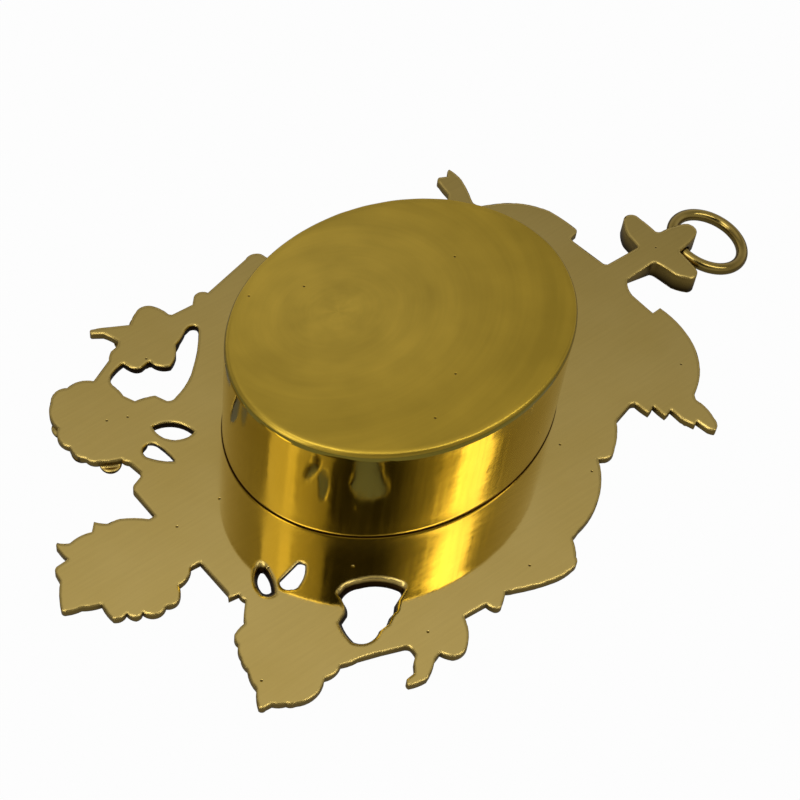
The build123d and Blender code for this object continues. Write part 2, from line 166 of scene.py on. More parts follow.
def cast_brass():
    """Cast brass, filed flat and polished on its back: a soft mirror with faint clouds, hair lines
    and a few casting pits. A dark line of painted shade lies along the lid's foot. The upright edges keep a
    dull cast surface, painted darker as shade in their nooks, lower down and most in the pierced openings,
    and tarnish stays in the hollows of the front."""
    material, tree, shader, place = new_finish("cast_brass", Metallic=1.0)
    spot = place.outputs["Object"]
    clouds = node(tree, "TexNoise", {"Vector": spot, "Scale": per_mm(14), "Detail": 4.0})
    warm = node(tree, "Mix", {"Factor": clouds.outputs["Fac"], "A": linear("#c5a858"),
                              "B": linear("#d3b86e")}, data_type="RGBA")
    # Polishing lines are finer than the render shows, so they are drawn at 0.4 mm
    along = node(tree, "Mapping", {"Vector": spot, "Rotation": (0, 0, math.radians(35)),
                                   "Scale": (1, 0.05, 1)})
    lines = node(tree, "TexNoise", {"Vector": along.outputs["Vector"], "Scale": per_mm(0.4), "Detail": 2.0})
    # Casting pits, one or two in a square centimetre
    pits = scattered_pits(tree, spot, 6.5, "Red", 0.8, 0.035)
    grain = node(tree, "MapRange", {"Value": lines.outputs["Fac"], "From Min": 0.3, "From Max": 0.7,
                                    "To Min": 0.975, "To Max": 1.02})
    grained = node(tree, "VectorMath", {0: warm.outputs["Result"], "Scale": grain.outputs["Result"]},
                   operation="SCALE")
    pitted = node(tree, "Mix", {"Factor": pits, "A": grained.outputs[0], "B": linear("#4a3812")},
                  data_type="RGBA")
    # A dark line of painted shade along the lid's foot, in the seam between lid and plaque, with a hazy film
    # some millimetres wide beside it
    reach = node(tree, "VectorMath", {0: on_oval(tree, spot)}, operation="LENGTH")
    beside = node(tree, "Math", {0: reach.outputs["Value"], 1: 1.0}, operation="SUBTRACT")
    away = node(tree, "Math", {0: beside.outputs[0]}, operation="ABSOLUTE")
    seam_shade = node(tree, "MapRange", {"Value": away.outputs[0], "From Min": 0.02 / LID_MEAN_HALF,
                                   "From Max": 0.16 / LID_MEAN_HALF, "To Min": 1.0, "To Max": 0.0},
                interpolation_type="SMOOTHSTEP")
    haze = node(tree, "MapRange", {"Value": away.outputs[0], "From Min": 0.5 / LID_MEAN_HALF,
                                   "From Max": 4.5 / LID_MEAN_HALF, "To Min": 0.1, "To Max": 0.0},
                interpolation_type="SMOOTHSTEP")
    # Painted shade: a dark brown line along the lid's foot
    seam_shaded = node(tree, "Mix", {"Factor": seam_shade.outputs["Result"], "A": pitted.outputs["Result"],
                                "B": linear("#3a1e0c")}, data_type="RGBA")
    # Cast skin on the upright edges, painted darker as shade in nooks, lower down and in the openings.
    # Polishing has rounded every edge by about 0.6 mm, which the shading adds to the mesh's finer round
    rounded = node(tree, "Bevel", {"Radius": 0.6 * MM}, samples=12)
    facing = node(tree, "SeparateXYZ", {"Vector": rounded.outputs["Normal"]})
    upright = node(tree, "Math", {0: facing.outputs["Z"]}, operation="ABSOLUTE")
    edge = node(tree, "MapRange", {"Value": upright.outputs[0], "From Min": 0.15, "From Max": 0.5,
                                   "To Min": 1.0, "To Max": 0.0}, interpolation_type="SMOOTHSTEP")
    shelter = node(tree, "AmbientOcclusion", {"Distance": 3.5 * MM}, samples=8, only_local=True)
    # Painted shade in the nooks that the ambient occlusion finds
    nook_shade = node(tree, "MapRange", {"Value": shelter.outputs["AO"], "From Min": 0.45, "From Max": 0.95,
                                   "To Min": 1.0, "To Max": 0.0})
    # The cross's thick sides are painted darker lower down, as shade
    level = node(tree, "SeparateXYZ", {"Vector": spot})
    low_side_shade = node(tree, "MapRange", {"Value": level.outputs["Z"], "From Min": (PLAQUE_BACK - 3.0) * MM,
                                       "From Max": (PLAQUE_BACK - 0.9) * MM, "To Min": 1.0, "To Max": 0.0})
    side_shade = node(tree, "Math", {0: nook_shade.outputs["Result"], 1: low_side_shade.outputs["Result"]},
                   operation="MAXIMUM")
    skin_and_shade = node(tree, "Mix", {"Factor": side_shade.outputs[0], "A": linear("#b89c52"), "B": linear("#3a2a10")},
                data_type="RGBA")
    # Painted shade on the walls of the pierced openings
    pierced = node(tree, "Attribute", attribute_name="pierced", attribute_type="GEOMETRY")
    skin_and_opening_shade = node(tree, "Mix", {"Factor": pierced.outputs["Fac"], "A": skin_and_shade.outputs["Result"],
                                   "B": linear("#3a2810")}, data_type="RGBA")
    # Leaning walls of the openings are dull and painted dark as shade too, but for a lip that polishing
    # reached
    inside = node(tree, "MapRange", {"Value": pierced.outputs["Fac"], "From Min": 0.85, "From Max": 1.0})
    below = node(tree, "MapRange", {"Value": level.outputs["Z"], "From Min": (PLAQUE_BACK - 0.55) * MM,
                                    "From Max": (PLAQUE_BACK - 0.3) * MM, "To Min": 1.0, "To Max": 0.0})
    dull_shaded_opening = node(tree, "Math", {0: inside.outputs["Result"], 1: below.outputs["Result"]},
                      operation="MULTIPLY")
    dull_edge = node(tree, "Math", {0: edge.outputs["Result"], 1: dull_shaded_opening.outputs[0]},
                     operation="MAXIMUM")
    # The upright edges take the skin colour with its painted shade
    edged = node(tree, "Mix", {"Factor": dull_edge.outputs[0], "A": seam_shaded.outputs["Result"],
                               "B": skin_and_opening_shade.outputs["Result"]}, data_type="RGBA")
    # Tarnish on the front, deepest where the relief shelters it
    hollow = node(tree, "MapRange", {"Value": shelter.outputs["AO"], "From Min": 0.55, "From Max": 1.0,
                                     "To Min": 1.0, "To Max": 0.0})
    thin = node(tree, "MapRange", {"Value": clouds.outputs["Fac"], "From Min": 0.35, "From Max": 0.65,
                                   "To Min": 0.12, "To Max": 0.3})
    film = node(tree, "Math", {0: hollow.outputs["Result"], 1: thin.outputs["Result"]}, operation="MAXIMUM")
    frontward = node(tree, "MapRange", {"Value": facing.outputs["Z"], "From Min": -0.5, "From Max": 0.0,
                                        "To Min": 1.0, "To Max": 0.0})
    tarnish = node(tree, "Math", {0: film.outputs[0], 1: frontward.outputs["Result"]}, operation="MULTIPLY")
    aged = node(tree, "Mix", {"Factor": tarnish.outputs[0], "A": edged.outputs["Result"],
                              "B": linear("#4a3814")}, data_type="RGBA")
    tree.links.new(aged.outputs["Result"], shader.inputs["Base Color"])
    polish = node(tree, "MapRange", {"Value": lines.outputs["Fac"], "From Min": 0.3, "From Max": 0.7,
                                     "To Min": 0.035, "To Max": 0.065})
    # The rounded lips took less polish than the flat
    lip = node(tree, "MapRange", {"Value": upright.outputs[0], "From Min": 0.8, "From Max": 0.98,
                                  "To Min": 0.18, "To Max": 0.0})
    film_or_lip = node(tree, "Math", {0: haze.outputs["Result"], 1: lip.outputs["Result"]},
                       operation="MAXIMUM")
    hazy = node(tree, "Math", {0: polish.outputs["Result"], 1: film_or_lip.outputs[0]}, operation="ADD")
    tarnish_and_seam = node(tree, "Math", {0: tarnish.outputs[0], 1: seam_shade.outputs["Result"]}, operation="MAXIMUM")
    dull = node(tree, "Math", {0: dull_edge.outputs[0], 1: tarnish_and_seam.outputs[0]}, operation="MAXIMUM")
    rough = node(tree, "Mix", {"Factor": dull.outputs[0], "A": hazy.outputs[0], "B": 0.36})
    tree.links.new(rough.outputs["Result"], shader.inputs["Roughness"])
    wave = node(tree, "TexNoise", {"Vector": spot, "Scale": per_mm(11), "Detail": 1.0})
    swell = node(tree, "Bump", {"Height": wave.outputs["Fac"], "Strength": 0.25, "Distance": 0.06 * MM,
                                "Normal": rounded.outputs["Normal"]})
    hair = node(tree, "Bump", {"Height": lines.outputs["Fac"], "Strength": 0.06, "Distance": 0.02 * MM,
                               "Normal": swell.outputs[0]})
    sunk = node(tree, "Bump", {"Height": pits, "Strength": 0.5, "Distance": 0.1 * MM,
                               "Normal": hair.outputs[0]}, invert=True)
    tree.links.new(sunk.outputs["Normal"], shader.inputs["Normal"])
    return material


def lid_brass():
    """Sheet brass: a mirror-polished wall with upright rub marks, and a top buffed to a softer,
    olive-yellow sheen with faint oval swirl marks, clouds, a paler patch of painted sheen and a few pits."""
    material, tree, shader, place = new_finish("lid_sheet_brass", Metallic=1.0)
    spot = place.outputs["Object"]
    facing = node(tree, "SeparateXYZ", {"Vector": place.outputs["Normal"]})
    top = node(tree, "MapRange", {"Value": facing.outputs["Z"], "From Min": 0.3, "From Max": 0.55,
                                  "To Min": 0.0, "To Max": 1.0}, interpolation_type="SMOOTHSTEP")
    # Oval swirls: the noise runs round the oval and changes quickly across it.
    # The buffing wheel's centre was a little off the lid's
    shifted = node(tree, "VectorMath", {0: on_oval(tree, spot), 1: (-0.3, -0.25, 0)}, operation="SUBTRACT")
    reach = node(tree, "VectorMath", {0: shifted.outputs[0]}, operation="LENGTH")
    turn = node(tree, "VectorMath", {0: shifted.outputs[0]}, operation="NORMALIZE")
    turn_parts = node(tree, "SeparateXYZ", {"Vector": turn.outputs[0]})
    # One swirl mark in about 0.6 mm, drawn coarser than the real polishing lines so that it shows
    marks = node(tree, "Math", {0: reach.outputs["Value"], 1: LID_HALF_LENGTH / 0.6}, operation="MULTIPLY")
    polar = node(tree, "CombineXYZ", {"X": turn_parts.outputs["X"], "Y": turn_parts.outputs["Y"],
                                      "Z": marks.outputs[0]})
    swirl = node(tree, "TexNoise", {"Vector": polar.outputs[0], "Scale": 1.0, "Detail": 4.0})
    bands = node(tree, "Math", {0: reach.outputs["Value"], 1: LID_HALF_LENGTH / 5.0}, operation="MULTIPLY")
    broad = node(tree, "CombineXYZ", {"X": turn_parts.outputs["X"], "Y": turn_parts.outputs["Y"],
                                      "Z": bands.outputs[0]})
    sweeps = node(tree, "TexNoise", {"Vector": broad.outputs[0], "Scale": 1.0, "Detail": 2.0})
    clouds = node(tree, "TexNoise", {"Vector": spot, "Scale": per_mm(10), "Detail": 4.0})
    fine = node(tree, "Mix", {"Factor": 0.75, "A": swirl.outputs["Fac"], "B": clouds.outputs["Fac"]})
    mixed = node(tree, "Mix", {"Factor": 0.45, "A": fine.outputs["Result"], "B": sweeps.outputs["Fac"]})
    # A paler patch painted on the top, round a spot off its middle, as sheen
    sheen_centre = (-12 * MM, -4 * MM, LID_TOP * MM)
    off_sheen = node(tree, "VectorMath", {0: spot, 1: sheen_centre}, operation="DISTANCE")
    patch = node(tree, "MapRange", {"Value": off_sheen.outputs["Value"], "From Min": 0.0, "From Max": 36 * MM,
                                    "To Min": 1.0, "To Max": 0.0}, interpolation_type="SMOOTHSTEP")
    # Painted sheen: the top's tone is paler near the patch's centre
    plain = node(tree, "Mix", {"Factor": patch.outputs["Result"], "A": linear("#bd9d36"),
                               "B": linear("#d2b148")}, data_type="RGBA")
    darker = node(tree, "MapRange", {"Value": mixed.outputs["Result"], "From Min": 0.38, "From Max": 0.62,
                                     "To Min": 0.88, "To Max": 1.1})
    buffed = node(tree, "VectorMath", {0: plain.outputs["Result"], "Scale": darker.outputs["Result"]},
                  operation="SCALE")
    sparse = scattered_pits(tree, spot, 7, "Green", 0.84, 0.032)
    pits = node(tree, "Math", {0: sparse, 1: top.outputs["Result"]}, operation="MULTIPLY")
    pitted = node(tree, "Mix", {"Factor": pits.outputs[0], "A": buffed.outputs[0], "B": linear("#54400f")},
                  data_type="RGBA")
    wall = node(tree, "Mix", {"Factor": clouds.outputs["Fac"], "A": linear("#c9b344"),
                              "B": linear("#d3bf55")}, data_type="RGBA")
    colour = node(tree, "Mix", {"Factor": top.outputs["Result"], "A": wall.outputs["Result"],
                                "B": pitted.outputs["Result"]}, data_type="RGBA")
    tree.links.new(colour.outputs["Result"], shader.inputs["Base Color"])
    soft = node(tree, "MapRange", {"Value": mixed.outputs["Result"], "From Min": 0.35, "From Max": 0.65,
                                   "To Min": 0.3, "To Max": 0.38})
    # Upright rub marks on the wall, about 0.8 mm apart
    rub = node(tree, "Mapping", {"Vector": spot, "Scale": (1, 1, 0.06)})
    rubs = node(tree, "TexNoise", {"Vector": rub.outputs["Vector"], "Scale": per_mm(0.8), "Detail": 2.0})
    mirror = node(tree, "MapRange", {"Value": rubs.outputs["Fac"], "From Min": 0.35, "From Max": 0.75,
                                     "To Min": 0.09, "To Max": 0.17})
    rough = node(tree, "Mix", {"Factor": top.outputs["Result"], "A": mirror.outputs["Result"],
                               "B": soft.outputs["Result"]})
    tree.links.new(rough.outputs["Result"], shader.inputs["Roughness"])
    # Small hand-rubbed dents in the wall, which fray the edges of its reflections
    dents = node(tree, "TexNoise", {"Vector": spot, "Scale": per_mm(3), "Detail": 2.0})
    dented = node(tree, "Bump", {"Height": dents.outputs["Fac"], "Strength": 0.3, "Distance": 0.06 * MM})
    lines = node(tree, "Bump", {"Height": swirl.outputs["Fac"], "Strength": 0.05, "Distance": 0.02 * MM,
                                "Normal": dented.outputs[0]})
    sunk = node(tree, "Bump", {"Height": pits.outputs[0], "Strength": 0.5, "Distance": 0.1 * MM,
                               "Normal": lines.outputs[0]}, invert=True)
    tree.links.new(sunk.outputs["Normal"], shader.inputs["Normal"])
    return material


def drawn_brass(name, bright, worn, rough_low, rough_high, draw):
    """Drawn brass, as wire, sleeve or strip: fine lines along the way it was drawn, and a brown tinge
    where hands don't reach."""
    material, tree, shader, place = new_finish(name, Metallic=1.0)
    spot = place.outputs["Object"]
    along = node(tree, "Mapping", {"Vector": spot, "Scale": draw})
    lines = node(tree, "TexNoise", {"Vector": along.outputs["Vector"], "Scale": per_mm(0.5), "Detail": 3.0})
    tinge = node(tree, "TexNoise", {"Vector": spot, "Scale": per_mm(9), "Detail": 3.0})
    share = node(tree, "MapRange", {"Value": tinge.outputs["Fac"], "From Min": 0.3, "From Max": 0.8})
    colour = node(tree, "Mix", {"Factor": share.outputs["Result"], "A": linear(bright), "B": linear(worn)},
                  data_type="RGBA")
    tree.links.new(colour.outputs["Result"], shader.inputs["Base Color"])
    rough = node(tree, "MapRange", {"Value": lines.outputs["Fac"], "From Min": 0.3, "From Max": 0.7,
                                    "To Min": rough_low, "To Max": rough_high})
    tree.links.new(rough.outputs["Result"], shader.inputs["Roughness"])
    groove = node(tree, "Bump", {"Height": lines.outputs["Fac"], "Strength": 0.15, "Distance": 0.02 * MM})
    tree.links.new(groove.outputs["Normal"], shader.inputs["Normal"])
    return material


def pane_glass():
    """Old drawn window glass: clear, faintly green and slightly wavy."""
    material, tree, shader, place = new_finish(
        "window_glass", Base_Color=linear("#f2f8f2"), Transmission_Weight=1.0, IOR=1.52, Roughness=0.0)
    wave = node(tree, "TexNoise", {"Vector": place.outputs["Object"], "Scale": per_mm(12), "Detail": 1.0})
    swell = node(tree, "Bump", {"Height": wave.outputs["Fac"], "Strength": 0.2, "Distance": 0.1 * MM})
    tree.links.new(swell.outputs["Normal"], shader.inputs["Normal"])
    return material


def cotton_velvet():
    """Cotton velvet in madder red: short upright pile, painted darker as shade between its tufts, with
    brushed patches and a pale rim of sheen.
    """
    material, tree, shader, place = new_finish(
        "cotton_velvet", Roughness=0.95, Sheen_Weight=0.5, Sheen_Roughness=0.4, Sheen_Tint=linear("#e08a7c"))
    spot = place.outputs["Object"]
    brushed = node(tree, "TexNoise", {"Vector": spot, "Scale": per_mm(5), "Detail": 3.0})
    # Pile tufts stand about 0.3 mm apart
    tufts = node(tree, "TexVoronoi", {"Vector": spot, "Scale": per_mm(0.3)})
    nap = node(tree, "MapRange", {"Value": brushed.outputs["Fac"], "From Min": 0.35, "From Max": 0.65})
    pile = node(tree, "Mix", {"Factor": nap.outputs["Result"], "A": linear("#821a20"),
                              "B": linear("#a83034")}, data_type="RGBA")
    # Painted shade between the pile's tufts, darker away from each tuft's middle
    tuft_shade = node(tree, "Mix", {"Factor": tufts.outputs["Distance"], "A": pile.outputs["Result"],
                              "B": linear("#560f15")}, data_type="RGBA")
    tree.links.new(tuft_shade.outputs["Result"], shader.inputs["Base Color"])
    fuzz = node(tree, "Bump", {"Height": tufts.outputs["Distance"], "Strength": 0.6, "Distance": 0.1 * MM},
                invert=True)
    tree.links.new(fuzz.outputs["Normal"], shader.inputs["Normal"])
    return material


def fibre_finish(name, pale, dark, fibre, rough):
    """Fibre sheet or thread, such as hand-made paper, greyboard or cotton: matt, with fibres and flecks."""
    material, tree, shader, place = new_finish(name, Roughness=rough)
    spot = place.outputs["Object"]
    felt = node(tree, "TexNoise", {"Vector": spot, "Scale": per_mm(fibre), "Detail": 6.0, "Roughness": 0.7})
    stains = node(tree, "TexNoise", {"Vector": spot, "Scale": per_mm(9), "Detail": 2.0})
    both = node(tree, "Mix", {"Factor": 0.5, "A": felt.outputs["Fac"], "B": stains.outputs["Fac"]})
    share = node(tree, "MapRange", {"Value": both.outputs["Result"], "From Min": 0.38, "From Max": 0.64})
    colour = node(tree, "Mix", {"Factor": share.outputs["Result"], "A": linear(pale), "B": linear(dark)},
                  data_type="RGBA")
    tree.links.new(colour.outputs["Result"], shader.inputs["Base Color"])
    tooth = node(tree, "Bump", {"Height": felt.outputs["Fac"], "Strength": 0.4, "Distance": 0.05 * MM})
    tree.links.new(tooth.outputs["Normal"], shader.inputs["Normal"])
    return material


# Shape helpers

def as_piece(mesh, name, material, body, replaced):
    """Turns a bmesh into a finished piece that rides on a body and stands for its solid."""
    data = bpy.data.meshes.new(name)
    mesh.to_mesh(data)
    mesh.free()
    piece = bpy.data.objects.new(name, data)
    bpy.context.scene.collection.objects.link(piece)
    data.materials.append(material)
    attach(piece, body)
    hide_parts(replaced)
    return piece


def merged_copy(node_name):
    """Copy of a solid's mesh with its loose triangles joined."""
    mesh = bmesh.new()
    mesh.from_mesh(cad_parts[node_name].data)
    bmesh.ops.remove_doubles(mesh, verts=mesh.verts, dist=0.002 * MM)
    return mesh


def soften(mesh, sharp_angle):
    """Smooth faces, with hard lines where faces meet at more than this angle."""
    for face in mesh.faces:
        face.smooth = True
    for edge in mesh.edges:
        edge.smooth = edge.calc_face_angle(0) < math.radians(sharp_angle)


def oval_wall(profile, segments):
    """Oval surface through a profile of (inset from the lid's outside, height) in millimetres.
    Each step of the profile is one extrusion of the oval."""
    mesh = bmesh.new()
    inset, height = profile[0]
    half = [LID_HALF_WIDTH - inset, LID_HALF_LENGTH - inset]
    loop = bmesh.ops.create_circle(mesh, radius=MM, segments=segments)["verts"]
    bmesh.ops.scale(mesh, vec=(half[0], half[1], 1), verts=loop)
    bmesh.ops.translate(mesh, vec=(0, 0, height * MM), verts=loop)
    edges = list(mesh.edges)
    for inset, next_height in profile[1:]:
        made = bmesh.ops.extrude_edge_only(mesh, edges=edges)["geom"]
        loop = [part for part in made if isinstance(part, bmesh.types.BMVert)]
        edges = [part for part in made if isinstance(part, bmesh.types.BMEdge) and part.is_boundary]
        next_half = [LID_HALF_WIDTH - inset, LID_HALF_LENGTH - inset]
        bmesh.ops.scale(mesh, vec=(next_half[0] / half[0], next_half[1] / half[1], 1), verts=loop)
        bmesh.ops.translate(mesh, vec=(0, 0, (next_height - height) * MM), verts=loop)
        half, height = next_half, next_height
    return mesh, edges


def closed(mesh):
    """Joins the seams, fills the open ovals and turns the faces outwards."""
    bmesh.ops.remove_doubles(mesh, verts=mesh.verts, dist=0.001 * MM)
    open_edges = [edge for edge in mesh.edges if edge.is_boundary]
    if open_edges:
        bmesh.ops.holes_fill(mesh, edges=open_edges)
    bmesh.ops.recalc_face_normals(mesh, faces=mesh.faces)
    return mesh


def steps(first, last, count):
    """Evenly spaced numbers from first to last."""
    return [first + (last - first) * i / count for i in range(count + 1)]


def quarter_round(inset, height, radius, count, rising):
    """Profile points of a rounded edge, from the wall over to the flat."""
    points = []
    for turn in steps(0, math.pi / 2, count):
        points.append((inset + radius * (1 - math.cos(turn)), height + rising * radius * math.sin(turn)))
    return points


def box_heights(node_name):
    """Lowest and highest level of a solid, in millimetres."""
    low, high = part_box(node_name)
    return low.z / MM, high.z / MM


def outer_inset(node_name):
    """How far a solid's oval lies inside the lid's outside, in millimetres."""
    return LID_HALF_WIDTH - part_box(node_name)[1].x / MM


# Lid

def make_lid_wall(material):
    """Upright wall of the lid, hand-raised and so very slightly wavy."""
    profile = [(LID_WALL, LID_PLATE_UNDER), (LID_WALL, LID_RIM + 0.15), (LID_WALL - 0.15, LID_RIM)]
    profile += [(0.2, LID_RIM), (0.06, LID_RIM + 0.06), (0.0, LID_RIM + 0.2)]
    profile += [(0.0, height) for height in steps(LID_RIM + 0.2, LID_PLATE_UNDER, 36)[1:]]
    profile.append((LID_WALL, LID_PLATE_UNDER))
    mesh, _ = oval_wall(profile, 400)
    closed(mesh)
    for vert in mesh.verts:
        x, y, z = vert.co / MM
        if (x / LID_HALF_WIDTH) ** 2 + (y / LID_HALF_LENGTH) ** 2 < 0.985:
            continue
        fade = max(0.0, min(1.0, (z - LID_RIM) / 1.5, (LID_PLATE_UNDER - z) / 1.5))
        out = Vector((x / LID_HALF_WIDTH**2, y / LID_HALF_LENGTH**2, 0)).normalized()
        wave = noise.noise(Vector((x, y, z * 0.45)) / 7.0) * 0.025
        vert.co -= out * fade * (0.025 - wave) * MM
    soften(mesh, 40)
    return as_piece(mesh, "lid_wall", material, "lid", "lid_band")


def make_lid_top(material):
    """Flat top of the lid with its edge buffed round, a little unevenly."""
    profile = [(LID_WALL + 0.6, LID_PLATE_UNDER)] + [(inset, LID_TOP - depth) for inset, depth in LID_EDGE]
    mesh, edges = oval_wall(profile, 400)
    face = bmesh.ops.edgeloop_fill(mesh, edges=edges)["faces"]
    for _ in range(2):
        bmesh.ops.inset_region(mesh, faces=face, thickness=0.3 * MM, use_even_offset=True)
    closed(mesh)
    worn_way = direction(CAMERA_AZIMUTH, 0)
    for vert in mesh.verts:
        x, y, z = vert.co / MM
        depth = LID_TOP - z
        reach = math.hypot(x / LID_HALF_WIDTH, y / LID_HALF_LENGTH)
        if depth < LID_EDGE[0][1] and reach > 0.955:
            # The edge is rubbed less on the side away from the photograph's viewpoint, and a little unevenly
            side = Vector((x / LID_HALF_WIDTH, y / LID_HALF_LENGTH, 0)).normalized().dot(worn_way)
            share = 0.7 + 0.3 * side + 0.12 * noise.noise(Vector((x, y, 0)) / 3.0)
            vert.co.z = (LID_TOP - depth * share) * MM
            vert.co.x *= (1 - (1 - reach) * share) / reach
            vert.co.y *= (1 - (1 - reach) * share) / reach
    soften(mesh, 40)
    return as_piece(mesh, "lid_top", material, "lid", "lid_plate")


# Plaque and ring

def edge_loops(faces):
    """Loops of edges round a patch of faces."""
    inside = set(faces)
    border = {edge for face in faces for edge in face.edges
              if sum(other in inside for other in edge.link_faces) == 1}
    loops = []
    while border:
        loop = [border.pop()]
        for edge in loop:
            for vert in edge.verts:
                joined = [other for other in vert.link_edges if other in border]
                border.difference_update(joined)
                loop.extend(joined)
        loops.append(loop)
    return loops


def outer_ring(faces):
    """Corners along the edge of a patch of faces."""
    return {vert for loop in edge_loops(faces) for edge in loop for vert in edge.verts}


def opening_walls(mesh, back):
    """Corners on the walls of the pierced openings: those below every edge of the back but the outline."""
    flats = set(back)
    loops = sorted(edge_loops(back), key=lambda loop: sum(edge.calc_length() for edge in loop))
    todo = [face for loop in loops[:-1] for edge in loop for face in edge.link_faces if face not in flats]
    walls = set(todo)
    for face in todo:
        for edge in face.edges:
            for other in edge.link_faces:
                if other not in walls and other not in flats and abs(other.normal.z) < 0.6:
                    walls.add(other)
                    todo.append(other)
    return {vert for face in walls for vert in face.verts}


def make_plaque(material):
    """The casting, with the sharp edge of its back rubbed round by polishing."""
    mesh = merged_copy("plaque")
    back = [face for face in mesh.faces
            if face.normal.z > 0.999 and face.calc_center_median().z > (PLAQUE_BACK - 0.01) * MM]
    depth = mesh.verts.layers.float.new("depth")
    for vert in opening_walls(mesh, back):
        vert[depth] = 1.0
    rings = [(outer_ring(back), PLAQUE_EDGE[0][1])]
    for (inset, _), (next_inset, drop) in zip(PLAQUE_EDGE, PLAQUE_EDGE[1:]):
        bmesh.ops.inset_region(mesh, faces=back, thickness=(next_inset - inset) * MM)
        rings.append((outer_ring(back), drop))
    for ring, drop in rings:
        for vert in ring:
            vert.co.z = (PLAQUE_BACK - drop) * MM
            vert[depth] *= drop / PLAQUE_EDGE[0][1]
    bmesh.ops.inset_region(mesh, faces=back, thickness=0.03 * MM)
    # The finish reads this mark to paint shade on the openings' walls, and the front's faces must not share
    # it
    pierced = mesh.loops.layers.float.new("pierced")
    mesh.normal_update()
    for face in mesh.faces:
        for corner in face.loops:
            corner[pierced] = corner.vert[depth] if face.normal.z > -0.3 else 0.0
    soften(mesh, 38)
    return as_piece(mesh, "openwork_plaque", material, "case", "plaque")


def make_hanging_ring(material):
    """Ring of round wire, as its solid has it."""
    mesh = merged_copy("hanging_ring")
    soften(mesh, 60)
    return as_piece(mesh, "wire_ring", material, "ring", "hanging_ring")


# Window and contents

def oval_plate(node_name, name, material, edge):
    """Flat oval plate with its edges broken."""
    inset = outer_inset(node_name)
    floor, top = box_heights(node_name)
    profile = [(inset + edge, floor), (inset, floor + edge), (inset, top - edge), (inset + edge, top)]
    mesh, _ = oval_wall(profile, 240)
    closed(mesh)
    soften(mesh, 30)
    return as_piece(mesh, name, material, "case", node_name)


def oval_band(node_name, name, material, wall, edge):
    """Upright oval band with its edges broken."""
    inset = outer_inset(node_name)
    floor, top = box_heights(node_name)
    inner = inset + wall
    profile = [(inset, floor + edge), (inset, top - edge), (inset + edge, top), (inner - edge, top)]
    profile += [(inner, top - edge), (inner, floor + edge), (inner - edge, floor), (inset + edge, floor)]
    mesh, _ = oval_wall(profile + profile[:1], 240)
    closed(mesh)
    soften(mesh, 30)
    return as_piece(mesh, name, material, "case", node_name)


def make_rim(material):
    """Stepped oval rim round the window, with a row of pearls cast on its step."""
    inset = outer_inset("window_rim")
    floor, top = box_heights("window_rim")
    step_inset = inset + RIM_STEP_WIDTH
    step_level = floor + RIM_STEP_DEPTH
    bore_inset = inset + RIM_WIDTH
    profile = [(inset, top), (inset, step_level + 0.2), (inset + 0.06, step_level + 0.06)]
    profile += [(inset + 0.2, step_level), (step_inset - 0.05, step_level), (step_inset, step_level - 0.05)]
    profile += quarter_round(step_inset, floor + RIM_ROUND, RIM_ROUND, 7, -1)
    profile += [(bore_inset - 0.25, floor), (bore_inset - 0.07, floor + 0.07), (bore_inset, floor + 0.25)]
    profile += [(bore_inset, top)]
    mesh, _ = oval_wall(profile + profile[:1], 240)
    closed(mesh)
    # Pearls stand side by side along the step
    half_width = LID_HALF_WIDTH - inset - PEARL_INSET
    half_length = LID_HALF_LENGTH - inset - PEARL_INSET
    round_length = math.pi * (3 * (half_width + half_length)
                              - math.sqrt((3 * half_width + half_length) * (half_width + 3 * half_length)))
    count = int(round_length / PEARL_PITCH)
    turn, walked, spacing = 0.0, 0.0, round_length / count
    for _ in range(count):
        place = Vector((half_width * math.cos(turn), half_length * math.sin(turn), step_level + PEARL_SINK))
        bmesh.ops.create_uvsphere(mesh, u_segments=8, v_segments=6, radius=PEARL_RADIUS * MM,
                                  matrix=Matrix.Translation(place * MM))
        goal = walked + spacing
        while walked < goal:
            walked += 0.001 * math.hypot(half_width * math.sin(turn), half_length * math.cos(turn))
            turn += 0.001
    soften(mesh, 30)
    return as_piece(mesh, "pearled_rim", material, "case", "window_rim")


def make_clip(material):
    """Open oval spring clip of flat strip, with its ends cut square."""
    mesh = merged_copy("retaining_clip")
    soften(mesh, 30)
    return as_piece(mesh, "spring_clip", material, "case", "retaining_clip")


def make_scroll(material):
    """Paper sheet rolled up in about three and a half turns."""
    low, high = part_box("amulet_scroll")
    middle = (low + high) / 2
    outer = (high.z - low.z) / 2 / MM
    pieces_in_turn = 28
    mesh = bmesh.new()
    ends = [mesh.verts.new((middle.x + PAPER_FIRST_RADIUS * MM, y, middle.z)) for y in (low.y, high.y)]
    edges = [mesh.edges.new(ends)]
    bmesh.ops.subdivide_edges(mesh, edges=edges, cuts=12)
    edges = list(mesh.edges)
    count = int(PAPER_TURNS * pieces_in_turn)
    radius = PAPER_FIRST_RADIUS
    growth = (outer - PAPER_THICKNESS / 3 - radius) / count
    for _ in range(count):
        made = bmesh.ops.extrude_edge_only(mesh, edges=edges)["geom"]
        verts = [part for part in made if isinstance(part, bmesh.types.BMVert)]
        edges = [part for part in made if isinstance(part, bmesh.types.BMEdge)
                 and all(vert in verts for vert in part.verts)]
        centre = Matrix.Translation(-middle)
        wider = (radius + growth) / radius
        bmesh.ops.scale(mesh, vec=(wider, 1, wider), space=centre, verts=verts)
        turn = Matrix.Rotation(2 * math.pi / pieces_in_turn, 3, "Y")
        bmesh.ops.rotate(mesh, cent=middle, matrix=turn, verts=verts)
        radius += growth
    bmesh.ops.recalc_face_normals(mesh, faces=mesh.faces)
    soften(mesh, 60)
    piece = as_piece(mesh, "paper_scroll", material, "case", "amulet_scroll")
    sheet = piece.modifiers.new("paper", "SOLIDIFY")
    sheet.thickness = PAPER_THICKNESS * MM
    sheet.offset = 0.0
    return piece


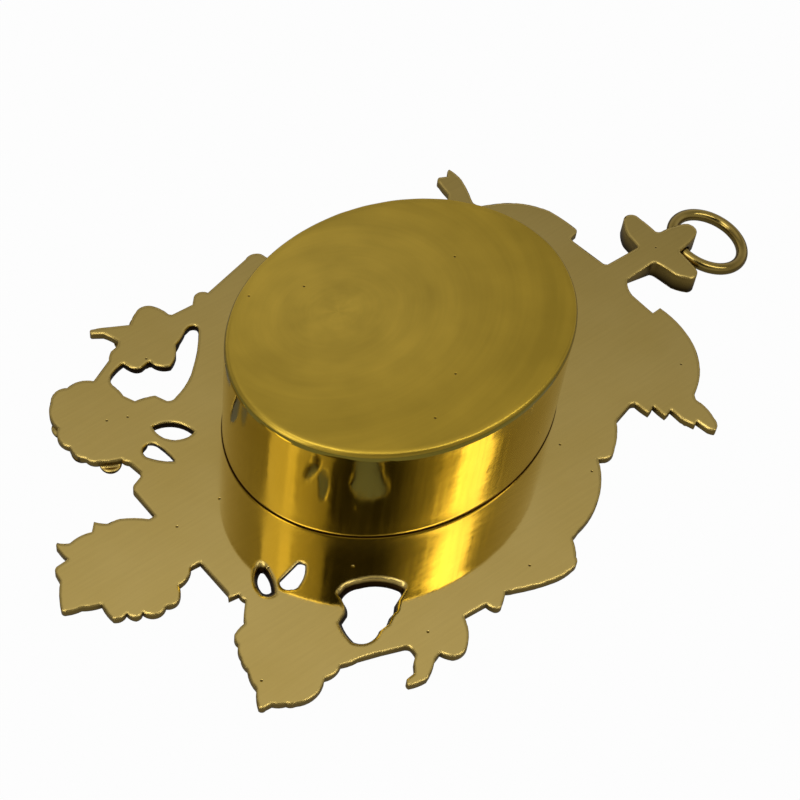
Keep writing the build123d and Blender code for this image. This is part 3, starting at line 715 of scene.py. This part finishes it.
def make_ties(material):
    """Thread wound some turns round the scroll at each of two places."""
    low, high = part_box("scroll_ties")
    middle = (low + high) / 2
    outer = (high.z - low.z) / 2 / MM
    half = TIE_WIDTH / 2
    mesh = bmesh.new()
    for end in (low.y / MM + half, high.y / MM - half):
        for along in steps(end - half + THREAD_RADIUS, end + half - THREAD_RADIUS, TIE_TURNS - 1):
            place = Vector((middle.x + (outer - THREAD_RADIUS) * MM, along * MM, middle.z))
            section = bmesh.ops.create_circle(mesh, radius=THREAD_RADIUS * MM, segments=8,
                                              matrix=Matrix.Translation(place))["verts"]
            ring = {edge for vert in section for edge in vert.link_edges}
            bmesh.ops.spin(mesh, geom=section + list(ring), cent=Vector((middle.x, along * MM, middle.z)),
                           axis=(0, 1, 0), angle=2 * math.pi, steps=40, use_merge=True)
    bmesh.ops.recalc_face_normals(mesh, faces=mesh.faces)
    soften(mesh, 60)
    return as_piece(mesh, "thread_ties", material, "case", "scroll_ties")


def make_pad(material):
    """Oval cushion, crowned towards the window and flat on its board."""
    inset = outer_inset("relic_pad")
    floor, top = box_heights("relic_pad")
    profile = [(inset + 0.5, top), (inset + 0.1, top - 0.3), (inset, top - 0.9)]
    profile += [(inset + 0.25, top - 1.5), (inset + 0.9, floor + 0.55), (inset + 2.0, floor + 0.3)]
    profile += [(inset + 4.0, floor + 0.15), (inset + 8.0, floor + 0.06), (inset + 13.0, floor + 0.02)]
    mesh, _ = oval_wall(profile, 120)
    closed(mesh)
    for vert in mesh.verts:
        if vert.co.z < (top - 1.2) * MM:
            vert.co.z += 0.12 * MM * noise.noise(vert.co / MM / 3.5)
            vert.co.z = max(vert.co.z, floor * MM)
    soften(mesh, 60)
    piece = as_piece(mesh, "relic_cushion", material, "case", "relic_pad")
    return piece


# Studio

def direction(azimuth, elevation):
    """Unit vector from the object: azimuth from -Y towards +X, elevation from the floor, in radians."""
    flat = math.cos(elevation)
    return Vector((math.sin(azimuth) * flat, -math.cos(azimuth) * flat, math.sin(elevation)))


def make_camera():
    """Camera at the photograph's viewpoint, aimed at the middle of the lid's foot."""
    back = direction(CAMERA_AZIMUTH, CAMERA_ELEVATION)
    level = Vector((math.cos(CAMERA_AZIMUTH), math.sin(CAMERA_AZIMUTH), 0))
    rise = back.cross(level)
    right = level * math.cos(CAMERA_ROLL) + rise * math.sin(CAMERA_ROLL)
    up = rise * math.cos(CAMERA_ROLL) - level * math.sin(CAMERA_ROLL)
    data = bpy.data.cameras.new("camera")
    data.sensor_width = 36.0
    data.lens = CAMERA_FOCAL_PIXELS / PICTURE_PIXELS * data.sensor_width
    data.clip_start = 0.01
    camera = bpy.data.objects.new("camera", data)
    bpy.context.scene.collection.objects.link(camera)
    shift = right * CAMERA_SHIFT[0] + up * CAMERA_SHIFT[1]
    place = Vector((0, 0, PLAQUE_BACK)) + back * CAMERA_DISTANCE + shift
    turn = Matrix((right, up, back)).transposed().to_4x4()
    camera.matrix_world = Matrix.Translation(place * MM) @ turn
    bpy.context.scene.camera = camera


def make_softbox(name, offset, elevation, width, height, radiance, lean):
    """Rectangular lamp that faces the object, offset from the camera's azimuth, and may lean sideways."""
    toward = direction(CAMERA_AZIMUTH + math.radians(offset), math.radians(elevation))
    data = bpy.data.lights.new(name, "AREA")
    data.shape = "RECTANGLE"
    data.size = width
    data.size_y = height
    data.energy = radiance * math.pi * width * height
    lamp = bpy.data.objects.new(name, data)
    bpy.context.scene.collection.objects.link(lamp)
    aim = toward.to_track_quat("Z", "Y").to_matrix().to_4x4() @ Matrix.Rotation(math.radians(lean), 4, "Z")
    lamp.matrix_world = Matrix.Translation(toward * SOFTBOX_DISTANCE) @ aim
    lamp.visible_camera = False


def make_room():
    """Pale room: even walls, a dimmer band half way up, a brighter ceiling, and a dark flag by the camera."""
    world = bpy.data.worlds.new("room")
    bpy.context.scene.world = world
    world.use_nodes = True
    tree = world.node_tree
    ray = node(tree, "TexCoord").outputs["Generated"]
    parts = node(tree, "SeparateXYZ", {"Vector": ray})
    walls = node(tree, "MapRange", {"Value": parts.outputs["Z"], "From Min": 0.35, "From Max": 0.68,
                                    "To Min": 0.55, "To Max": 0.28}, interpolation_type="SMOOTHSTEP")
    ceiling = node(tree, "MapRange", {"Value": parts.outputs["Z"], "From Min": 0.68, "From Max": 0.9,
                                      "To Min": 0.0, "To Max": 0.44})
    above = node(tree, "MapRange", {"Value": parts.outputs["Z"], "From Min": 0.965, "From Max": 0.99,
                                    "To Min": 0.0, "To Max": 0.6}, interpolation_type="SMOOTHSTEP")
    upper = node(tree, "Math", {0: ceiling.outputs["Result"], 1: above.outputs["Result"]}, operation="ADD")
    whole = node(tree, "Math", {0: walls.outputs["Result"], 1: upper.outputs[0]}, operation="ADD")
    # The camera's side of the room is dimmer
    sideways = node(tree, "VectorMath", {0: ray, 1: direction(CAMERA_AZIMUTH, 0)}, operation="DOT_PRODUCT")
    dimmer = node(tree, "MapRange", {"Value": sideways.outputs["Value"], "From Min": -0.5, "From Max": 0.0,
                                     "To Min": 1.0, "To Max": 0.7})
    room = node(tree, "Math", {0: whole.outputs[0], 1: dimmer.outputs["Result"]}, operation="MULTIPLY")
    flag_way = direction(CAMERA_AZIMUTH + math.radians(12), math.radians(54))
    turned = node(tree, "VectorMath", {0: ray, 1: flag_way}, operation="DOT_PRODUCT")
    flag = node(tree, "MapRange", {"Value": turned.outputs["Value"], "From Min": math.cos(math.radians(26)),
                                   "From Max": math.cos(math.radians(9)), "To Min": 1.0, "To Max": 0.08},
                interpolation_type="SMOOTHSTEP")
    light = node(tree, "Math", {0: room.outputs[0], 1: flag.outputs["Result"]}, operation="MULTIPLY")
    background = tree.nodes["Background"]
    background.inputs["Color"].default_value = (1, 1, 1, 1)
    tree.links.new(light.outputs[0], background.inputs["Strength"])


def make_floor():
    """Plain pale floor under the object, lifted towards white where it is seen, with a faint shadow left."""
    mesh = bmesh.new()
    bmesh.ops.create_grid(mesh, x_segments=1, y_segments=1, size=3.0)
    data = bpy.data.meshes.new("floor")
    mesh.to_mesh(data)
    mesh.free()
    floor = bpy.data.objects.new("floor", data)
    bpy.context.scene.collection.objects.link(floor)
    material, tree, shader, _ = new_finish("pale_floor", Roughness=0.9, Base_Color=linear("#686868"))
    shader.inputs["Specular IOR Level"].default_value = 0.0
    rays = node(tree, "LightPath")
    through = node(tree, "Math", {0: rays.outputs["Is Camera Ray"], 1: rays.outputs["Is Transmission Ray"]},
                   operation="MAXIMUM")
    seen = node(tree, "Math", {0: through.outputs[0], 1: WHITE_SEEN}, operation="MULTIPLY")
    mirrored = node(tree, "Math", {0: rays.outputs["Is Glossy Ray"], 1: WHITE_MIRRORED, 2: seen.outputs[0]},
                    operation="MULTIPLY_ADD")
    white = node(tree, "Emission", {"Color": (1, 1, 1, 1), "Strength": 1.0})
    lifted = node(tree, "MixShader", {0: mirrored.outputs[0], 1: shader.outputs[0], 2: white.outputs[0]})
    tree.links.new(lifted.outputs[0], tree.nodes["Material Output"].inputs["Surface"])
    data.materials.append(material)


def build():
    """Makes every piece with its finish."""
    sheet_brass = lid_brass()
    sleeve = drawn_brass("collar_sleeve_brass", "#c6a858", "#a58a45", 0.2, 0.3, (1, 1, 0.05))
    rim = drawn_brass("window_rim_brass", "#ccae5e", "#a58946", 0.14, 0.24, (1, 1, 0.3))
    card = fibre_finish("greyboard_card", "#b59a72", "#8f744f", 0.5, 0.95)
    make_plaque(cast_brass())
    make_lid_wall(sheet_brass)
    make_lid_top(sheet_brass)
    make_hanging_ring(drawn_brass("ring_wire_brass", "#b59c52", "#8a7238", 0.14, 0.22, (1, 1, 1)))
    oval_band("collar", "collar_sleeve", sleeve, COLLAR_WALL, 0.15)
    make_rim(rim)
    oval_plate("window_glass", "window_pane", pane_glass(), 0.2)
    oval_band("spacer_frame", "spacer_band", card, SPACER_WALL, 0.1)
    oval_plate("backing_board", "backing_card", card, 0.12)
    make_clip(drawn_brass("spring_strip_brass", "#c2a24e", "#8a6f33", 0.2, 0.32, (1, 1, 1)))
    make_scroll(fibre_finish("hand_made_paper", "#f0e2bd", "#cdb481", 0.6, 0.9))
    make_ties(fibre_finish("cotton_thread", "#b23a22", "#7c2014", 0.25, 0.85))
    make_pad(cotton_velvet())


build()
make_camera()
make_room()
make_floor()
for lamp in SOFTBOXES:
    make_softbox(*lamp)
bpy.context.scene.view_settings.view_transform = "Standard"
